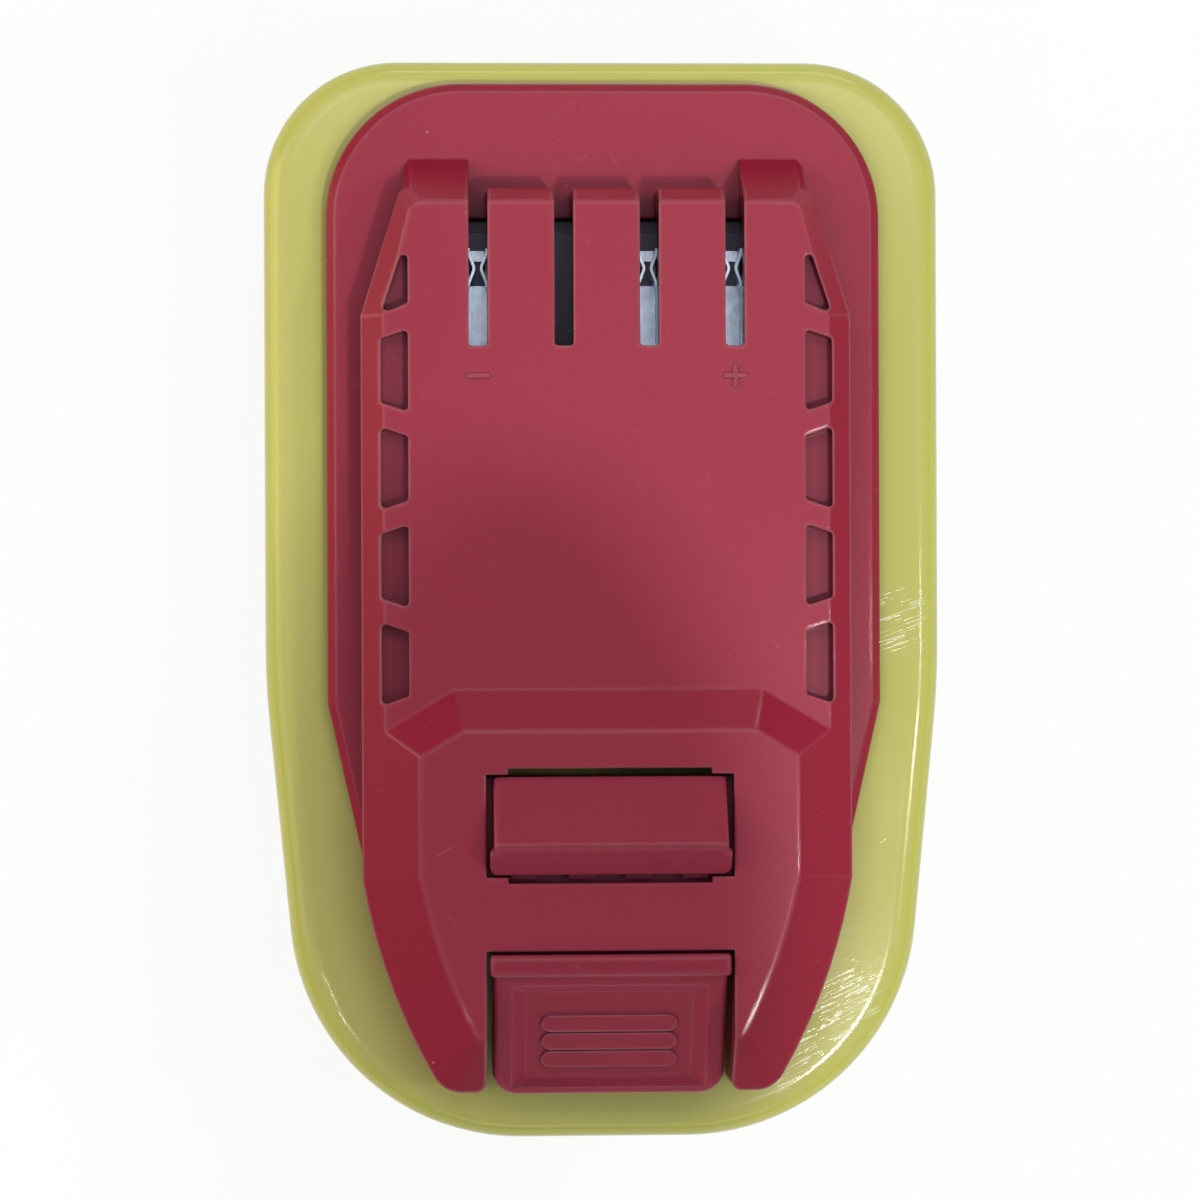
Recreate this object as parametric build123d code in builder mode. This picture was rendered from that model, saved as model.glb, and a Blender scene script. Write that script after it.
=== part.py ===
"""Tool battery adapter.

A post-type battery plugs into the deep socket under the housing, and a cordless tool slides onto the
red rails on top, from the +Y end, until the sprung latch snaps behind it. Pressing the ribbed thumb
button pulls the latch down and lets the tool go.

Frame: millimetres, +Z up, +Y towards the end where the tool's blades enter, +X to the right seen from
above. The origin is at the middle of the foot's lower face.
"""

from build123d import *

import math
import os

# Rails and the plate that they stand on
rail_width = 54.0  # across the two overhanging flanges
groove_depth = 5.2  # how far a flange overhangs the neck
groove_height = 4.8  # clear height of the groove under a flange
flange_thickness = 3.2
flange_edge = 0.8  # upright lip left below the bevel of a flange
facet_slope = 1.08  # run over rise of the bevels along both sides
rail_length = 55.2  # from the rails' front to the foot of the latch housing
block_edge_radius = 0.3  # softened edges round the flanges' top
nose_bevel = 1.65  # run of the bevel along the rails' front
nose_taper_length = 14.1  # length of the narrowing at the rails' front
nose_taper_width = 4.4  # how much each flange narrows there
nose_corner_radius = 1.2
plate_thickness = 3.0
plate_ledge = 3.9  # width of the plate outside each flange
plate_front_radius = 15.0
plate_bevel = 1.0
plate_taper_start = 56.8  # from the rails' front to where the plate starts to narrow
plate_taper_length = 17.4
rail_setback = 12.3  # from the plate's front edge to the rails' front
cover_wall = 2.2
front_wall = 2.8  # wall behind the rails' front, between the blade slots

# Blade slots and the windows that lighten the flanges
slot_contacts = ("negative", None, "sense", "positive")  # from left to right, None for an empty slot
slot_pitch_share = 0.174  # of the rails' width
slot_width = 2.1
slot_length = 17.5
slot_end_radius = 0.45
ear_length = 3.8
ear_side = 0.4  # how far an ear stands out past the neck
ear_bevel = 0.7
window_pitch = 10.7
window_long_side = 9.0
window_short_side = 7.0
window_first = 20.2  # from the rails' front to the middle of the first four-sided window
corner_window_length = 7.5  # long side of the three-sided window in the nose
corner_window_first = 5.3
corner_window_skew = 1.2
window_corner_radius = 0.45
window_overrun = 0.35  # how far a window bites into the flange's bevel
window_floor = 1.0  # skin left under a window
mark_size = 2.6  # plus and minus signs beside the outer slots
mark_stroke = 0.5
mark_height = 0.2
mark_gap = 2.0  # from the slot's end to the sign

# Latch housing: the raised end of the cover
plateau_rise = 3.5  # above the flanges' top
latch_housing_length = 44.3
chevron_flat = 35.4  # width of the straight part of the housing's front slope
chevron_sweep = 5.6  # how far the slope's outer ends lie further back
chevron_lean = 0.15  # extra run over rise of the front slope
kink_distance = 20.8  # from the foot of the slope to where the sides start to close in
rear_corner_run = 8.8  # how much each side has closed in at the rear corner
rear_bulge = 1.3  # how far the closing stretch bows out
rear_corner_radius = 3.5
leg_corner_radius = 1.2  # the two legs' inner corners at the rear
plateau_corner_radius = 1.2
plateau_edge_radius = 0.7
window_wall = 1.8  # guide walls beside the latch

# Latch and thumb button, one moulding
hook_setback = 9.1  # from the foot of the slope to the latch opening
hook_opening_width = 27.0
hook_opening_length = 11.2
hook_notch_width = 22.2  # shallow widenings in both ends of the opening
hook_notch_depth = 0.65
hook_gap = 0.4  # at both sides of the hook's bar
hook_end_gap = 0.3
hook_rise = 3.5  # crest above the plateau
hook_crest_share = 0.7  # place of the crest along the hook, from its low end
hook_crest_radius = 0.6
hook_side_radius = 0.5
hook_bar_overhang = 0.4  # how far the bar stands out past the sides of the ramp
hook_bar_radius = 0.9
bridge_length = 8.0  # roof between the latch opening and the button
latch_wing = 2.4  # how far the web reaches under the roof at each side
latch_web = 2.0
latch_clearance = 0.4
latch_travel = 4.0
hook_ramp_drop = 0.5  # how far the ramp's foot lies below the plateau
button_gap = 0.4
button_reach = 16.1  # from the lip's upper edge to the button's lower edge
button_lip = 2.4
button_lip_rise = 0.7
button_lip_radius = 0.6
button_lip_end_radius = 0.4
button_lip_overhang = 0.3  # how far the lip stands out past the sides of the button
button_shoulder = 0.5  # from the plateau down to the slope's upper end
button_skin = 2.2
button_toe = 1.6  # upright edge at the button's lower end
button_toe_gap = 0.7  # left over the deck with the button down
button_corner_radius = 2.8
button_rim_radius = 0.6
dish_side_margin = 2.1
dish_top_margin = 1.2
dish_end_margin = 0.9
dish_side_run = 1.5
dish_top_run = 1.4
dish_end_run = 0.3
dish_depth = 0.8
grip_rib_count = 3
grip_rib_pitch = 2.4
grip_rib_width = 2.2
grip_rib_length = 15.0
grip_rib_height = 0.35
grip_rib_drop = 0.45  # middle of the ribs below the middle of the dish
hook_rib_count = 4
hook_rib_pitch = 6.25
hook_rib_width = 2.9
hook_rib_depth = 0.6
hook_rib_drop = 1.6  # from the plateau down to the ribs' upper ends

# Springs under the latch
spring_outer_diameter = 6.0
spring_wire = 0.7
spring_turns = 6
spring_spread = 17.0  # between the two springs
spring_setback = 13.4  # from the latch opening's upper edge
spring_seat_gap = 0.02
spring_pin_gap = 0.5
spring_pin_height = 2.4

# Housing and foot
plate_front_margin = 3.0
rear_margin = 6.4
side_margin = 7.1
body_front_radius = 15.0
body_rear_radius = 26.0
body_taper = 5.0  # how much narrower each side is at the rear
body_taper_start = 70.0  # from the front end to where the sides start to close in
body_taper_radius = 90.0
body_edge_radius = 3.0
body_wall = 2.6
deck_thickness = 2.5
wiring_space = 4.0
foot_thickness = 4.0
foot_edge_radius = 1.2
foot_reveal = 0.5  # how far the foot is set in from the housing's side
foot_lip_height = 2.5
foot_lip_wall = 1.8
foot_lip_gap = 0.15

# Battery socket
well_width = 33.0
well_length = 43.0
well_depth = 42.0
well_wall = 2.2
well_ceiling = 2.5
well_shift = 5.0  # middle of the well in front of the middle of the foot
well_key_radius = 10.0  # two front corners
well_rear_radius = 4.0
well_lead_in = 1.0
catch_width = 12.0
catch_height = 5.0
catch_from_mouth = 8.0

# Contacts
leaf_thickness = 0.8
leaf_width = 8.0
sense_leaf_width = 4.0
sense_leaf_setback = 10.0  # from the main leaves towards the rear
leaf_wall_gap = 0.5
leaf_bow = 2.4
leaf_hang = 17.0  # below the well's ceiling
leaf_straight = 2.0  # upright part of a leaf below the ceiling
leaf_foot = 1.5
leaf_shoulder_radius = 4.0
leaf_bow_radius = 6.0
leaf_foot_radius = 2.0
leaf_tab = 3.4  # above the contact block
leaf_slot_gap = 0.05
block_thickness = 3.0
block_margin = 2.0
carrier_front_gap = 0.2
carrier_step = 1.5
carrier_step_height = 1.5
carrier_floor = 3.0
carrier_length = 20.1
carrier_side_gap = 1.2
carrier_roof_gap = 0.4
channel_width = 3.4
fork_metal = 0.35
fork_setback = 6.5  # from the rails' front to the tips of the contact
fork_tip_gap = 1.7  # between the two leaves, at their flared tips
fork_pinch_gap = 0.3
fork_body_gap = 2.2
fork_tip_distance = 0.5  # straight stretch of a leaf at its tip
fork_pinch_distance = 2.2
fork_shoulder_distance = 4.6
fork_length = 14.4
fork_height = 4.0
fork_tip_radius = 0.5
fork_pinch_radius = 1.1
fork_shoulder_radius = 0.8
fork_window_start = 1.2  # hole in the strip under the pinch
fork_window_end = 3.9
fork_window_margin = 0.5
fork_tail_gap = 0.1
tail_hole_margin = 1.0

# Wiring
wire_diameter = 2.2
sense_wire_diameter = 1.6
wire_lift = 0.6  # over the contact block
wire_screw_gap = 0.9  # between a wire's run and the head of the cover screw beside it
wire_bend_spare = 0.8  # straight stretch at a leaf's tab
wire_jog = 4.6  # length of the stretch that steps out to the fork
wire_tail_run = 4.2  # straight stretch at the fork
wire_bend_radius = 2.6
sense_bend_radius = 4.8
wire_jog_radius = 2.4
solder_rise = 0.45
solder_length = 1.4
solder_taper = 15.0  # degrees

# Fasteners
screw_diameter = 3.0
screw_clearance = 0.2
screw_head_diameter = 5.5
screw_head_height = 1.9
screw_head_radius = 0.5
screw_recess_width = 2.9
screw_recess_blade = 0.7
screw_recess_depth = 1.1
cover_screw_length = 7.0
foot_screw_length = 12.0
block_screw_length = 4.6
block_screw_diameter = 2.2
block_screw_head_diameter = 4.2
block_screw_head_height = 1.5
boss_wall = 1.7
boss_bite = 0.1  # how far a front boss runs into the neck's wall
pilot_spare = 1.0
block_pilot_spare = 0.3
cover_screw_setback = 31.2  # front pair, from the rails' front
carrier_screw_setback = 13.2
leg_screw_share = 0.508  # rear pair: share of the latch housing's length in front of them
block_screw_x = 8.6
foot_screw_inset = 8.0
foot_screw_front_inset = 14.5
foot_boss_gap = 0.55  # between a rear foot screw's boss and the cover screw's head
foot_screw_rear_x_inset = 14.5
counterbore_depth = 2.4
counterbore_gap = 0.3
overrun = 1.0  # cutting tools run this far past a face

# Places that follow from the sizes above
neck_width = rail_width - 2 * groove_depth
plate_width = rail_width + 2 * plate_ledge
body_width = plate_width + 2 * side_margin
body_length = plate_front_margin + rail_setback + rail_length + latch_housing_length + rear_margin
body_front_y = body_length / 2
plate_front_y = body_front_y - plate_front_margin
rail_front_y = plate_front_y - rail_setback
slope_y = rail_front_y - rail_length
cover_rear_y = slope_y - latch_housing_length
ceiling_z = well_depth
ceiling_top_z = ceiling_z + well_ceiling
block_top_z = ceiling_top_z + block_thickness
deck_under_z = block_top_z + wiring_space
deck_z = deck_under_z + deck_thickness
plate_top_z = deck_z + plate_thickness
flange_under_z = plate_top_z + groove_height
flange_top_z = flange_under_z + flange_thickness
facet_foot_z = flange_under_z + flange_edge
plateau_z = flange_top_z + plateau_rise
roof_z = plateau_z - cover_wall
flange_bevel = (flange_top_z - facet_foot_z) * facet_slope
housing_bevel = (plateau_z - facet_foot_z) * facet_slope
hook_front_y = slope_y - hook_setback
hook_rear_y = hook_front_y - hook_opening_length
button_top_y = hook_rear_y - bridge_length
opening_half = hook_opening_width / 2
guide_half = opening_half + latch_wing + latch_clearance
slot_pitch = rail_width * slot_pitch_share
slot_count = len(slot_contacts)
slot_xs = [slot_pitch * (i - (slot_count - 1) / 2) for i in range(slot_count)]
contact_xs = {name: x for name, x in zip(slot_contacts, slot_xs) if name}
outer_slot_edge = slot_xs[-1] + slot_width / 2
cavity_half = neck_width / 2 - cover_wall
cavity_front_y = rail_front_y - front_wall
cross_wall_y = hook_front_y + hook_notch_depth + latch_clearance + cover_wall
boss_radius = screw_diameter / 2 + boss_wall
front_screw_x = cavity_half - boss_radius + boss_bite
front_screw_y = rail_front_y - cover_screw_setback
leg_screw_x = (guide_half + window_wall + rail_width / 2 - cover_wall) / 2
leg_screw_y = slope_y - latch_housing_length * leg_screw_share


def body_outline(z, inset=0.0):
    """The housing's outline at height z, drawn inset all round."""
    half = body_width / 2
    with BuildSketch(Plane.XY.offset(z)) as outline:
        with BuildLine():
            Polyline(
                (half, body_front_y),
                (half, body_front_y - body_taper_start),
                (half - body_taper, -body_front_y),
                (body_taper - half, -body_front_y),
                (-half, body_front_y - body_taper_start),
                (-half, body_front_y),
                close=True,
            )
        make_face()
        rows = outline.vertices().group_by(Axis.Y)
        fillet(rows[0], body_rear_radius)
        fillet(outline.vertices().group_by(Axis.Y)[-1], body_front_radius)
        shoulders = [v for v in outline.vertices() if abs(v.Y - body_front_y + body_taper_start) < overrun]
        fillet(shoulders, body_taper_radius)
        if inset:
            offset(amount=-inset, kind=Kind.ARC)
    return outline.sketch


def cover_housing_outline(z, inset, corner_radius):
    """Outline of the latch housing at height z: a swept-back front, straight sides and a closing rear."""
    half = rail_width / 2
    front = slope_y + flange_bevel - chevron_lean * (max(z, facet_foot_z) - flange_top_z)
    corner_x = half - rear_corner_run
    chevron_half = chevron_flat / 2
    kink_y = slope_y - kink_distance
    mid_x = (half + corner_x) / 2 + rear_bulge
    mid_y = (kink_y + cover_rear_y) / 2
    with BuildSketch(Plane.XY.offset(z)) as outline:
        with BuildLine():
            right = Polyline(
                (0, front),
                (chevron_half, front),
                (half, front - chevron_sweep),
                (half, kink_y),
            )
            curve = ThreePointArc(right @ 1, (mid_x, mid_y), (corner_x, cover_rear_y))
            Line(curve @ 1, (0, cover_rear_y))
            mirror(about=Plane.YZ)
        make_face()
        if inset:
            offset(amount=-inset, kind=Kind.INTERSECTION)
        corners = outline.vertices().group_by(Axis.Y)[0]
        fillet([v for v in corners if abs(v.X) > overrun], corner_radius)
    return outline.sketch


def flange_outline(z, side_inset, front_inset, corner_radius):
    """Outline of the two flanges at height z, with the narrowed nose at the front."""
    half = rail_width / 2 - side_inset
    nose_half = rail_width / 2 - nose_taper_width - side_inset / 2
    front = rail_front_y - front_inset
    with BuildSketch(Plane.XY.offset(z)) as outline:
        with BuildLine():
            Polyline(
                (nose_half, front),
                (half, rail_front_y - nose_taper_length),
                (half, slope_y - chevron_sweep),
                (-half, slope_y - chevron_sweep),
                (-half, rail_front_y - nose_taper_length),
                (-nose_half, front),
                close=True,
            )
        make_face()
        fillet(outline.vertices().group_by(Axis.Y)[-1], corner_radius)
    return outline.sketch


def well_outline(z, grow=0.0):
    """Section of the battery post's well at height z, with its two keyed front corners."""
    with BuildSketch(Plane.XY.offset(z)) as outline:
        with Locations((0, well_shift)):
            Rectangle(well_width, well_length)
        fillet(outline.vertices().group_by(Axis.Y)[-1], well_key_radius)
        fillet(outline.vertices().group_by(Axis.Y)[0], well_rear_radius)
        if grow:
            offset(amount=grow, kind=Kind.ARC)
    return outline.sketch


# Foot and battery socket: one black moulding with the well for the battery's post
foot_screw_front_y = body_front_y - foot_screw_front_inset
foot_screw_rear_y = leg_screw_y - (boss_radius + screw_head_diameter / 2 + foot_boss_gap)
foot_screw_front_x = body_width / 2 - foot_screw_inset
foot_screw_rear_x = body_width / 2 - foot_screw_rear_x_inset
foot_screw_places = [
    (sign * x, y)
    for x, y in ((foot_screw_front_x, foot_screw_front_y), (foot_screw_rear_x, foot_screw_rear_y))
    for sign in (-1, 1)
]
main_leaf_y = well_shift
sense_leaf_y = main_leaf_y - sense_leaf_setback
leaf_x = well_width / 2 - leaf_wall_gap - leaf_thickness / 2
main_leaf_places = [(-leaf_x, main_leaf_y), (leaf_x, main_leaf_y)]
block_front_y = main_leaf_y + leaf_width / 2 + block_margin
block_rear_y = sense_leaf_y - sense_leaf_width / 2 - block_margin
block_middle_y = (block_front_y + block_rear_y) / 2
block_width = 2 * leaf_x + leaf_thickness + 2 * block_margin
block_screw_places = [(-block_screw_x, block_middle_y), (block_screw_x, block_middle_y)]

block_pilot_depth = block_screw_length - block_thickness + block_pilot_spare
lip_inset = body_wall + foot_lip_gap

with BuildPart() as battery_socket:
    extrude(body_outline(0, foot_reveal), amount=foot_thickness)
    fillet(battery_socket.faces().sort_by(Axis.Z)[0].edges(), foot_edge_radius)
    extrude(body_outline(foot_thickness, lip_inset), amount=foot_lip_height)
    inner_lip = body_outline(foot_thickness, lip_inset + foot_lip_wall)
    extrude(inner_lip, amount=foot_lip_height, mode=Mode.SUBTRACT)
    extrude(well_outline(foot_thickness, well_wall), amount=ceiling_top_z - foot_thickness)
    extrude(well_outline(0), amount=ceiling_z, mode=Mode.SUBTRACT)
    with BuildSketch(Plane.XY) as mouth:
        with Locations((0, well_shift)):
            Rectangle(well_width + 2 * well_lead_in, well_length + 2 * well_lead_in)
        fillet(mouth.vertices().group_by(Axis.Y)[-1], well_key_radius)
        fillet(mouth.vertices().group_by(Axis.Y)[0], well_rear_radius)
    extrude(amount=well_lead_in, taper=math.degrees(math.atan(1)), mode=Mode.SUBTRACT)
    with BuildSketch(Plane.YZ) as catch:
        with Locations((well_shift, catch_from_mouth + catch_height / 2)):
            Rectangle(catch_width, catch_height)
    extrude(amount=well_width / 2 + well_wall + overrun, both=True, mode=Mode.SUBTRACT)
    with BuildSketch(Plane.XY.offset(ceiling_z)):
        with Locations(*main_leaf_places):
            Rectangle(leaf_thickness + 2 * leaf_wall_gap, leaf_width + 2 * leaf_wall_gap)
        with Locations((leaf_x, sense_leaf_y)):
            Rectangle(leaf_thickness + 2 * leaf_wall_gap, sense_leaf_width + 2 * leaf_wall_gap)
    extrude(amount=well_ceiling, mode=Mode.SUBTRACT)
    with Locations(*[(x, y, ceiling_top_z) for x, y in block_screw_places]):
        Hole(block_screw_diameter / 2, block_pilot_depth)
    with Locations(*[Location((x, y, 0), (180, 0, 0)) for x, y in foot_screw_places]):
        CounterBoreHole(
            screw_diameter / 2 + screw_clearance,
            screw_head_diameter / 2 + counterbore_gap,
            counterbore_depth,
            foot_thickness + overrun,
        )
battery_socket.part.label = "battery_socket"

# Housing: the lime shell, closed above by the deck that the cover stands on
fork_tail_y = rail_front_y - fork_setback - fork_length + fork_metal / 2
cover_screw_places = [
    (-front_screw_x, front_screw_y),
    (front_screw_x, front_screw_y),
    (-leg_screw_x, leg_screw_y),
    (leg_screw_x, leg_screw_y),
]
carrier_screw_y = rail_front_y - carrier_screw_setback
carrier_screw_places = [(-slot_pitch, carrier_screw_y), (slot_pitch, carrier_screw_y)]
spring_y = hook_front_y - spring_setback
spring_places = {"left": (-spring_spread / 2, spring_y), "right": (spring_spread / 2, spring_y)}
spring_pin_radius = spring_outer_diameter / 2 - spring_wire - spring_pin_gap
cover_pilot_depth = cover_screw_length - deck_thickness + pilot_spare
tail_hole_width = channel_width + 2 * tail_hole_margin
tail_hole_length = wire_diameter + 2 * tail_hole_margin

with BuildPart() as housing:
    extrude(body_outline(foot_thickness), amount=deck_z - foot_thickness)
    fillet(housing.faces().sort_by(Axis.Z)[-1].edges(), body_edge_radius)
    inside = body_outline(foot_thickness, body_wall)
    extrude(inside, amount=deck_under_z - foot_thickness, mode=Mode.SUBTRACT)
    with BuildSketch(Plane.XY.offset(foot_thickness)):
        with Locations(*foot_screw_places):
            Circle(boss_radius)
    extrude(amount=deck_under_z - foot_thickness)
    with Locations(*[Location((x, y, foot_thickness), (180, 0, 0)) for x, y in foot_screw_places]):
        Hole(screw_diameter / 2, foot_screw_length + pilot_spare)
    with Locations(*[(x, y, deck_z) for x, y in cover_screw_places + carrier_screw_places]):
        Hole(screw_diameter / 2 + screw_clearance, deck_thickness)
    with BuildSketch(Plane.XY.offset(deck_under_z)):
        with Locations(*[(x, fork_tail_y) for x in contact_xs.values()]):
            Rectangle(tail_hole_width, tail_hole_length)
    extrude(amount=deck_thickness, mode=Mode.SUBTRACT)
    with BuildSketch(Plane.XY.offset(deck_z)):
        with Locations(*spring_places.values()):
            Circle(spring_pin_radius)
    extrude(amount=spring_pin_height)
housing.part.label = "housing"

# Cover, outer form of the latch housing: upright walls below, bevelled sides up to the plateau
with BuildPart() as latch_hood:
    extrude(cover_housing_outline(deck_z, 0, rear_corner_radius), amount=facet_foot_z - deck_z)
    low = cover_housing_outline(facet_foot_z, 0, rear_corner_radius)
    high = cover_housing_outline(plateau_z, housing_bevel, plateau_corner_radius)
    loft([low, high], ruled=True)
    fillet(latch_hood.faces().sort_by(Axis.Z)[-1].edges(), plateau_edge_radius)

# Cover, the hollow under that form
with BuildPart() as hood_hollow:
    extrude(cover_housing_outline(deck_z, cover_wall, rear_corner_radius), amount=facet_foot_z - deck_z)
    low = cover_housing_outline(facet_foot_z, cover_wall, rear_corner_radius)
    high = cover_housing_outline(roof_z, housing_bevel + cover_wall / 2, plateau_corner_radius)
    loft([low, high], ruled=True)

# Cover, the walls inside that hollow: latch guides, button cheeks, cross wall and screw bosses
with BuildPart() as hood_ribs:
    wall_length = cross_wall_y - button_top_y + button_gap
    wall_x = guide_half + window_wall / 2
    wall_y = cross_wall_y - wall_length / 2
    cheek_width = guide_half - opening_half + window_wall
    cheek_length = button_top_y - cover_rear_y
    cheek_x = opening_half + cheek_width / 2
    cheek_y = button_top_y - cheek_length / 2
    with BuildSketch(Plane.XY.offset(deck_z)):
        with Locations((0, cross_wall_y - cover_wall / 2)):
            Rectangle(2 * (guide_half + window_wall), cover_wall)
        with Locations((-wall_x, wall_y), (wall_x, wall_y)):
            Rectangle(window_wall, wall_length)
        with Locations((-cheek_x, cheek_y), (cheek_x, cheek_y)):
            Rectangle(cheek_width, cheek_length)
        with Locations((-leg_screw_x, leg_screw_y), (leg_screw_x, leg_screw_y)):
            Circle(boss_radius)
    extrude(amount=roof_z - deck_z + cover_wall / 2)
    add(latch_hood.part, mode=Mode.INTERSECT)

# Cover, the wedge-shaped ear in front of the rails, its outer edge bevelled
with BuildPart() as cover_ear:
    with BuildSketch(Plane.YZ.offset(outer_slot_edge)):
        with BuildLine():
            Polyline(
                (rail_front_y, plate_top_z),
                (rail_front_y + ear_length, plate_top_z),
                (rail_front_y, facet_foot_z),
                close=True,
            )
        make_face()
    extrude(amount=neck_width / 2 + ear_side - outer_slot_edge)
    outer_edges = cover_ear.edges().group_by(Axis.X)[-1]
    chamfer(outer_edges.sort_by(SortBy.LENGTH)[-1], ear_bevel)

# Cover: plate, neck, flanges and latch housing in one red moulding
plate_end_y = rail_front_y - plate_taper_start - plate_taper_length
neck_length = rail_front_y - cross_wall_y
window_inner = neck_width / 2
window_outer = rail_width / 2 - flange_bevel + window_overrun
first_window_y = rail_front_y - window_first
window_room = first_window_y - slope_y + chevron_sweep - window_long_side / 2
window_count = 1 + int(window_room / window_pitch)
mark_y = rail_front_y - slot_length - mark_gap - mark_size / 2

with BuildPart() as rail_cover:
    with BuildSketch(Plane.XY.offset(deck_z)) as plate:
        with BuildLine():
            plate_half = plate_width / 2
            Polyline(
                (plate_half, plate_front_y),
                (plate_half, rail_front_y - plate_taper_start),
                (rail_width / 2, plate_end_y),
                (-rail_width / 2, plate_end_y),
                (-plate_half, rail_front_y - plate_taper_start),
                (-plate_half, plate_front_y),
                close=True,
            )
        make_face()
        fillet(plate.vertices().group_by(Axis.Y)[-1], plate_front_radius)
    extrude(amount=plate_thickness)
    chamfer(rail_cover.faces().sort_by(Axis.Z)[-1].edges(), plate_bevel)
    with BuildSketch(Plane.XY.offset(deck_z)):
        with Locations((0, rail_front_y - neck_length / 2)):
            Rectangle(neck_width, neck_length)
    extrude(amount=flange_under_z - deck_z)
    extrude(flange_outline(flange_under_z, 0, 0, nose_corner_radius), amount=flange_edge)
    low = flange_outline(facet_foot_z, 0, 0, nose_corner_radius)
    high = flange_outline(flange_top_z, flange_bevel, nose_bevel, nose_corner_radius)
    loft([low, high], ruled=True)
    fillet(rail_cover.faces().sort_by(Axis.Z)[-1].edges().sort_by(Axis.Y)[1:], block_edge_radius)
    with BuildSketch(Plane.XY.offset(deck_z)):
        with Locations((0, (cavity_front_y + cross_wall_y) / 2)):
            Rectangle(2 * cavity_half, cavity_front_y - cross_wall_y)
    extrude(amount=flange_under_z - deck_z, mode=Mode.SUBTRACT)
    add(latch_hood.part)
    add(hood_hollow.part, mode=Mode.SUBTRACT)
    add(hood_ribs.part)
    with BuildSketch(Plane.XY.offset(deck_z)):
        with Locations((-front_screw_x, front_screw_y), (front_screw_x, front_screw_y)):
            Circle(boss_radius)
    extrude(amount=flange_under_z - deck_z)
    add(cover_ear.part)
    mirror(cover_ear.part, about=Plane.YZ)
    with BuildSketch(Plane.XY.offset(plate_top_z)):
        with Locations(*[(x, rail_front_y - slot_length / 2) for x in slot_xs]):
            RectangleRounded(slot_width, slot_length, slot_end_radius)
        with Locations(*[(x, rail_front_y + overrun / 2) for x in slot_xs]):
            Rectangle(slot_width, overrun + 2 * slot_end_radius)
    extrude(amount=flange_top_z - plate_top_z, mode=Mode.SUBTRACT)
    with BuildSketch(Plane.XY.offset(flange_under_z + window_floor)) as windows:
        for i in range(window_count):
            inner, outer = window_long_side, window_short_side
            if i % 2:
                inner, outer = outer, inner
            middle = first_window_y - i * window_pitch
            with BuildLine():
                Polyline(
                    (window_inner, middle + inner / 2),
                    (window_outer, middle + outer / 2),
                    (window_outer, middle - outer / 2),
                    (window_inner, middle - inner / 2),
                    close=True,
                )
            make_face()
        with BuildLine():
            corner_y = rail_front_y - corner_window_first
            Polyline(
                (window_inner, corner_y),
                (window_outer, corner_y - corner_window_length - corner_window_skew),
                (window_inner, corner_y - corner_window_length),
                close=True,
            )
        make_face()
        fillet(windows.vertices(), window_corner_radius)
        mirror(about=Plane.YZ)
    extrude(amount=flange_thickness - window_floor, mode=Mode.SUBTRACT)
    with BuildSketch(Plane.XY.offset(roof_z - cover_wall)):
        with Locations((0, (hook_front_y + hook_rear_y) / 2)):
            Rectangle(hook_opening_width, hook_opening_length)
            Rectangle(hook_notch_width, hook_opening_length + 2 * hook_notch_depth)
    extrude(amount=plateau_z - roof_z + cover_wall, mode=Mode.SUBTRACT)
    with BuildSketch(Plane.XY.offset(deck_z)):
        bay_length = button_top_y - cover_rear_y + overrun
        corner_x = opening_half + leg_corner_radius
        corner_y = cover_rear_y + leg_corner_radius
        with Locations((0, button_top_y - bay_length / 2)):
            Rectangle(hook_opening_width, bay_length)
        with Locations((0, corner_y - (leg_corner_radius + overrun) / 2)):
            Rectangle(2 * corner_x, leg_corner_radius + overrun)
        with Locations((-corner_x, corner_y), (corner_x, corner_y)):
            Circle(leg_corner_radius, mode=Mode.SUBTRACT)
    extrude(amount=plateau_z - deck_z, mode=Mode.SUBTRACT)
    with BuildSketch(Plane.XY.offset(deck_z)):
        web_bay = cross_wall_y - cover_wall - button_top_y
        with Locations((0, button_top_y + web_bay / 2)):
            Rectangle(2 * guide_half, web_bay)
    extrude(amount=roof_z - deck_z, mode=Mode.SUBTRACT)
    with Locations(*[Location((x, y, deck_z), (180, 0, 0)) for x, y in cover_screw_places]):
        Hole(screw_diameter / 2, cover_pilot_depth)
    with BuildSketch(Plane.XY.offset(flange_top_z)):
        with Locations((-slot_xs[-1], mark_y), (slot_xs[-1], mark_y)):
            Rectangle(mark_size, mark_stroke)
        with Locations((slot_xs[-1], mark_y)):
            Rectangle(mark_stroke, mark_size)
    extrude(amount=mark_height)
rail_cover.part.label = "rail_cover"

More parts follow.
